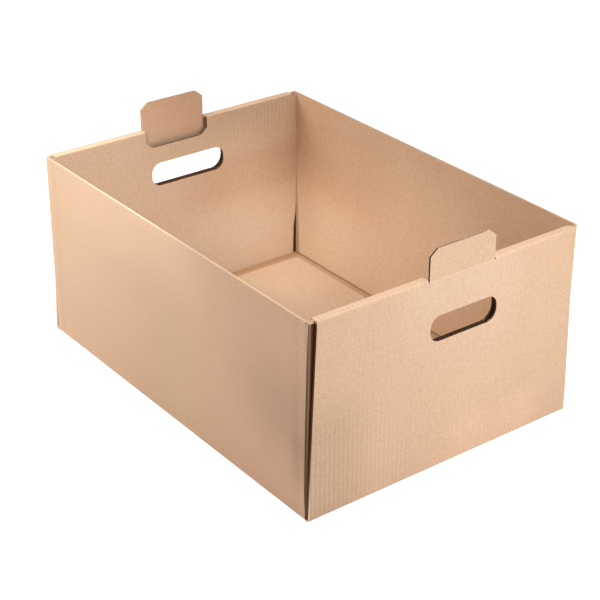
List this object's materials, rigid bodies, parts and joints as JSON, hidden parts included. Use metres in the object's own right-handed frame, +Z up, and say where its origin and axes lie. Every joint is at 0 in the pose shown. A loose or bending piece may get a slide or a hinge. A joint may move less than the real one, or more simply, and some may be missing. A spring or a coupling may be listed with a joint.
{
  "type": "cardboard transport box",
  "caption": "Open rectangular box folded from one sheet of corrugated board, with rolled ends, hand holes and upright stacking lugs.",
  "frame": {"origin": "on the underside, below the middle of the box", "axes": "+X along the length towards the front end, +Y across the width, +Z up"},
  "size_m": [0.56, 0.4, 0.2885],
  "materials": {
    "board": "matt brown kraft liner"
  },
  "bodies": {
    "root": {"folded_box": "board"}
  },
  "joints": []
}
